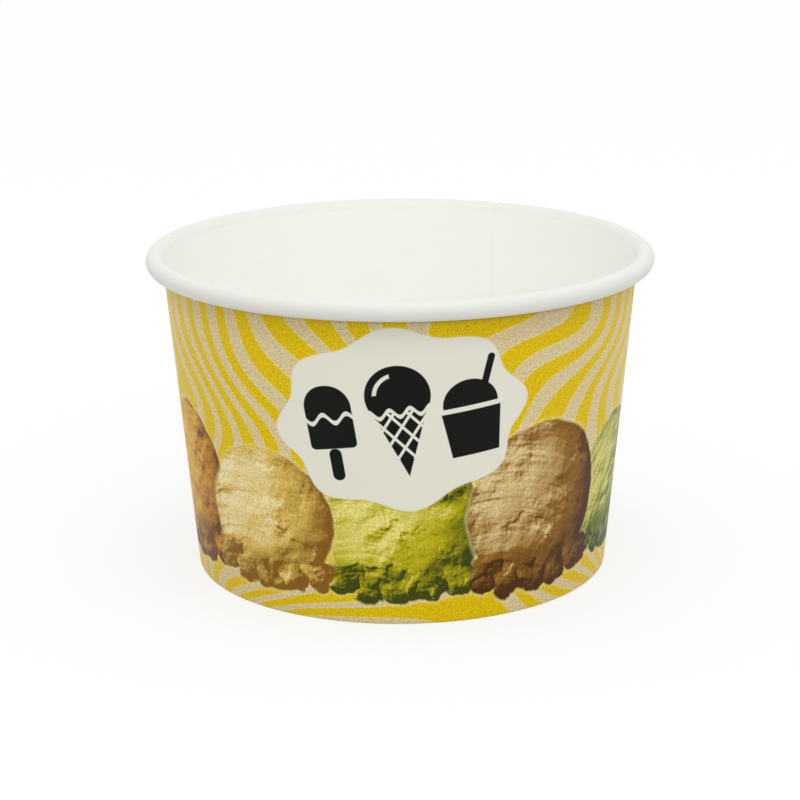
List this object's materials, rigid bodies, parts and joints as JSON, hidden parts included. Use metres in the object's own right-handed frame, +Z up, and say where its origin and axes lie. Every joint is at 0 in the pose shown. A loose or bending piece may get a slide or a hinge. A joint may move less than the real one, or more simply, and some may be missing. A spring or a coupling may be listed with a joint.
{
  "type": "paper dessert cup",
  "caption": "Round tapered paper cup for ice cream or dessert, with a rolled rim that takes a lid, a lapped side seam, a printed wall and a recessed bottom disc. Stands free.",
  "frame": {"origin": "centre of the base ring, on the surface that the cup stands on", "axes": "+Z up along the cup's axis; -Y is the printed front, and the lapped seam is at the back, towards +X"},
  "size_m": [0.096, 0.096, 0.0614],
  "materials": {
    "printed_board": "satin coated board, printed outside and white inside",
    "white_board": "satin coated white board"
  },
  "bodies": {
    "root": {"side_wall": "printed_board", "bottom_disc": "white_board"}
  },
  "joints": []
}
